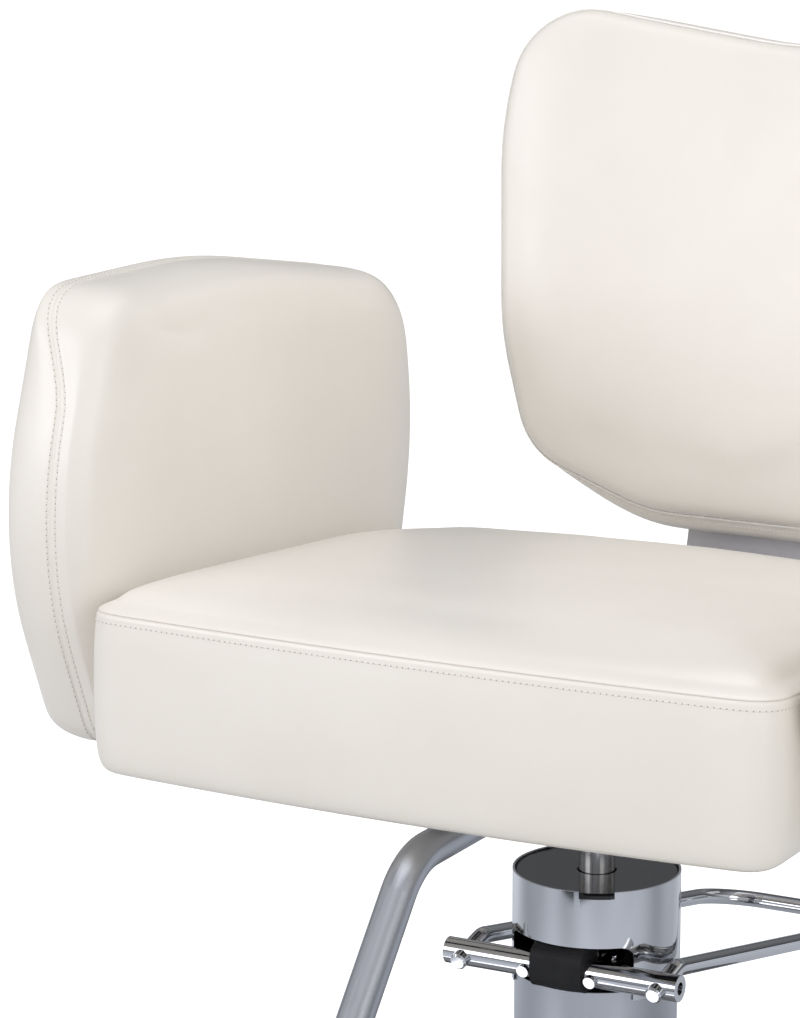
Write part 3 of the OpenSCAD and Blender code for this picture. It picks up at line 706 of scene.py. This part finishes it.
def arm_pad(name, sign):
    """Padded arm on the side of the chair where x has the given sign."""
    def place(p, depth):
        return arm_place(p, depth, sign)

    side = 30
    outline = resampled(rounded(ARM_CORNERS), 4 * side, ARM_START)
    normals = outward(outline)
    obj, ring_ids, _ = pad_mesh("arm_upholstery_" + name, outline, side, ARM_RINGS, place,
                                lambda p, d: rise(d, 0.2, 60), lambda p, d: rise(d, 2.5, 60))
    pinned = [i for ring in ring_ids[7:15] for i in ring]
    inflate(obj, pinned, pressure=1.5, cap=3 * MM)
    subdivide(obj)
    tree = surface_tree(obj)
    dress(obj, MATERIALS["ivory_vinyl"])
    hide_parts("arm_pad_" + name)
    for row, (inset, depth) in ARM_ROWS.items():
        loop = [place(p, depth * MM) for p in inset_loop(outline, normals, inset * MM)]
        sew(f"arm_stitching_{row}_{name}", tree, loop)


# ---------------------------------------------------------------- backrest

BACK_LEAN = math.radians(14.4)
BACK_ORIGIN = Vector((0, 249 * MM, 445 * MM))
BACK_HIGH = 387 * MM
BACK_HOLLOW = 1010 * MM     # radius of the front face's curve across
BACK_START = (-165 * MM, 25 * MM)
BACK_CORNERS = [            # right half, upwards: (x, height, radius)
    (83 * MM, -1 * MM, 128 * MM), (183 * MM, 35 * MM, 62 * MM), (215 * MM, 126 * MM, 262 * MM),
    (234 * MM, 286 * MM, 321 * MM), (221 * MM, BACK_HIGH, 63 * MM), (120 * MM, BACK_HIGH - 9 * MM, 150 * MM)]
BACK_DIP = (0, BACK_HIGH - 23 * MM, 303 * MM)
BACK_RINGS = in_mm([
    (14.4, -1.8), (9.8, -0.4), (6.6, 1.7), (4.2, 4.4), (2.9, 7.2), (2.3, 9.8), (3, 10.8), (2, 12.4),
    (1.8, 14.6), (1.4, 17), (0.6, 21), (0, 27), (0, 33), (1, 39), (3.6, 43.4), (8, 45.2), (14, 45.4)])
BACK_REAR_RINGS = in_mm([
    (16, 45.6), (10, 45.8), (6.4, 47), (5.2, 50), (5.4, 55), (7.6, 60.6), (12, 65), (18.6, 67.4), (27, 68.4)])


def back_outline(count):
    left = [(-x, y, radius) for x, y, radius in BACK_CORNERS[::-1]]
    return resampled(rounded(BACK_CORNERS + [BACK_DIP] + left), count, BACK_START)


def back_place(p, depth):
    """Depth behind the hollow front face; the back's own upright is turned to its lean.
    The band hangs full below the lower seam, and the panels dip a little in the middle of the top."""
    in_band = smooth(depth, 10 * MM, 17 * MM) * (1 - smooth(depth, 34 * MM, 46 * MM))
    inner = 1 - smooth(abs(p.x), 110 * MM, 190 * MM)
    low = (1 - smooth(p.y, 0, 110 * MM)) * inner
    high = smooth(p.y, BACK_HIGH - 90 * MM, BACK_HIGH - 30 * MM) * inner
    y = math.sqrt((BACK_HOLLOW + depth) ** 2 - p.x ** 2) - BACK_HOLLOW
    z = p.y + (0.5 - 8.5 * in_band) * MM * low - 2.4 * (1 - in_band) * MM * high
    return BACK_ORIGIN + Matrix.Rotation(-BACK_LEAN, 3, "X") @ Vector((p.x, y, z))


def back_front():
    """Front cushion with its band, the cord round the front panel and both rows of stitches."""
    def loop_at(inset, depth):
        return [back_place(p, depth * MM) for p in inset_loop(outline, normals, inset * MM)]

    side = 36
    outline = back_outline(4 * side)
    normals = outward(outline)
    obj, ring_ids, rear_ids = pad_mesh("back_upholstery", outline, side, BACK_RINGS, back_place,
                                       lambda p, d: rise(d, 4.5, 18) + rise(d, 2, 90), flat)
    pinned = rear_ids + [i for ring in ring_ids[3:10] + ring_ids[15:] for i in ring]
    inflate(obj, pinned, pressure=2, cap=3 * MM)
    subdivide(obj)
    tree = surface_tree(obj)
    cord = piping("back_piping", tree, loop_at(2.2, 9.4), 0.9 * MM, 0)
    dress(obj, MATERIALS["ivory_vinyl"])
    dress(cord, PALE_THREAD)
    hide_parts("back_cushion")
    edge = stitch_row("back_stitching_edge", surface_tree(cord), loop_at(2.2, 6), 2.6 * MM, 0.45 * MM)
    dress(edge, PALE_THREAD)
    band = stitch_row("back_stitching_band", tree, loop_at(1.8, 13.4), 3.4 * MM, 0.5 * MM)
    dress(band, PALE_THREAD)


def back_rear():
    """Padded cover behind the back board."""
    side = 30
    outline = back_outline(4 * side)
    obj, _, _ = pad_mesh("back_rear_upholstery", outline, side, BACK_REAR_RINGS, back_place,
                         flat, lambda p, d: rise(d, 2.5, 50))
    subdivide(obj)
    dress(obj, MATERIALS["ivory_vinyl"])
    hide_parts("back_cover")


# ---------------------------------------------------------------- studio

NEUTRAL = (1, 1, 1)
COOL = (0.98, 0.985, 1.04)
LIT_AT = (0, 0, 0.5)        # the point that all lamps face


def area_light(name, place, size, power, color):
    data = bpy.data.lights.new(name, "AREA")
    data.shape = "RECTANGLE"
    data.size, data.size_y = size
    data.energy = power
    data.color = color
    obj = bpy.data.objects.new(name, data)
    obj.location = place
    obj.rotation_euler = (Vector(LIT_AT) - Vector(place)).to_track_quat("-Z", "Y").to_euler()
    SCENE.collection.objects.link(obj)


def ray_mix(tree, common, special, out):
    """Joins the shaders special = {ray kind: socket} into out, with common for all other rays."""
    path = tree.nodes.new("ShaderNodeLightPath")
    result = common
    for kind, shader in special.items():
        mix = tree.nodes.new("ShaderNodeMixShader")
        tree.links.new(path.outputs[kind], mix.inputs[0])
        tree.links.new(result, mix.inputs[1])
        tree.links.new(shader, mix.inputs[2])
        result = mix.outputs[0]
    tree.links.new(result, out)


def backdrop():
    """White to the camera, an even soft dome to the upholstery and a banded room to the metal."""
    world = bpy.data.worlds.new("studio")
    world.use_nodes = True
    tree = world.node_tree
    even = tree.nodes["Background"]
    even.inputs["Color"].default_value = (1.0, 0.985, 0.96, 1)
    even.inputs["Strength"].default_value = 0.79
    seen = tree.nodes.new("ShaderNodeBackground")
    seen.inputs["Color"].default_value = (1, 1, 1, 1)
    room = tree.nodes.new("ShaderNodeBackground")
    ramp = tree.nodes.new("ShaderNodeValToRGB")
    split = tree.nodes.new("ShaderNodeSeparateXYZ")
    coords = tree.nodes.new("ShaderNodeTexCoord")
    tree.links.new(coords.outputs["Generated"], split.inputs[0])
    tree.links.new(map_range(tree, split.outputs["Z"], -1, 1, 0, 1), ramp.inputs["Fac"])
    tree.links.new(ramp.outputs["Color"], room.inputs["Color"])
    dimmer_behind = map_range(tree, split.outputs["Y"], -0.2, 0.5, 1.0, 0.3)
    tree.links.new(dimmer_behind, room.inputs["Strength"])
    stops = [(0.0, 0.5), (0.5, 0.2), (0.56, 0.5), (0.66, 0.95), (0.78, 0.3), (1.0, 0.7)]
    while len(ramp.color_ramp.elements) < len(stops):
        ramp.color_ramp.elements.new(0.5)
    for element, (at, level) in zip(ramp.color_ramp.elements, stops):
        element.position = at
        element.color = (level * 0.95, level * 0.98, level * 1.04, 1)
    special = {"Is Glossy Ray": room.outputs[0], "Is Camera Ray": seen.outputs[0]}
    ray_mix(tree, even.outputs[0], special, tree.nodes["World Output"].inputs["Surface"])
    SCENE.world = world


def studio_floor():
    """Pale floor. Metal sees it with soft painted patches of light, a glow that only glossy rays see."""
    corners = [Vector((x, y, 0)) for x, y in [(-14, -14), (14, -14), (14, 22), (-14, 22)]]
    floor = smooth_object("floor", corners, [(0, 1, 2, 3)])
    pale = Shader("floor_pale", (0.64, 0.635, 0.62), 0.75)
    pale.rough(pale.noise(3, 2), 0.7, 0.8)
    tree = pale.tree
    glow = tree.nodes.new("ShaderNodeEmission")
    glow.inputs["Strength"].default_value = 0.75
    bright = tree.nodes.new("ShaderNodeAddShader")
    tree.links.new(pale.bsdf.outputs[0], bright.inputs[0])
    tree.links.new(glow.outputs[0], bright.inputs[1])
    # Painted light: soft patches of glow on the floor that only glossy rays see, cast by no lamp.
    painted_light_pools = tree.nodes.new("ShaderNodeEmission")
    painted_light_pools.inputs["Color"].default_value = (0.9, 0.95, 1.05, 1)
    pale.link(pale.span(pale.noise(1.1, 1), 0.35, 0.65, 0.42, 0.85), painted_light_pools.inputs["Strength"])
    special = {"Is Glossy Ray": painted_light_pools.outputs[0], "Is Camera Ray": bright.outputs[0]}
    ray_mix(tree, pale.bsdf.outputs[0], special, tree.nodes["Material Output"].inputs["Surface"])
    floor.data.materials.append(pale.mat)


def studio():
    area_light("key", (-2.5, -3.5, 2.1), (2.4, 2.0), 49, COOL)
    area_light("fill", (3.2, -2.0, 1.3), (1.6, 2.4), 23, NEUTRAL)
    area_light("top", (0.3, -0.3, 3.4), (2.6, 2.6), 18, COOL)
    area_light("rear", (2.2, 3.0, 2.4), (2.0, 2.0), 7, NEUTRAL)
    backdrop()
    studio_floor()
    SCENE.view_settings.view_transform = "Standard"


CAMERA_AZIMUTH = math.radians(28.25)
CAMERA_ELEVATION = math.radians(12.74)
CAMERA_DISTANCE = 3.01
CAMERA_TARGET = Vector((-0.15844, -0.00071, 0.48892))


def camera():
    level = math.cos(CAMERA_ELEVATION)
    from_target = Vector((math.sin(CAMERA_AZIMUTH) * level, -math.cos(CAMERA_AZIMUTH) * level,
                          math.sin(CAMERA_ELEVATION)))
    data = bpy.data.cameras.new("camera")
    data.sensor_width = 36
    data.lens = 148.9
    obj = bpy.data.objects.new("camera", data)
    obj.location = CAMERA_TARGET + from_target * CAMERA_DISTANCE
    obj.rotation_mode = "QUATERNION"
    obj.rotation_quaternion = (-from_target).to_track_quat("-Z", "Y")
    SCENE.collection.objects.link(obj)
    SCENE.camera = obj


camera()
studio()
finish_frame()
seat_cushion()
arm_pad("left", 1)
arm_pad("right", -1)
back_front()
back_rear()
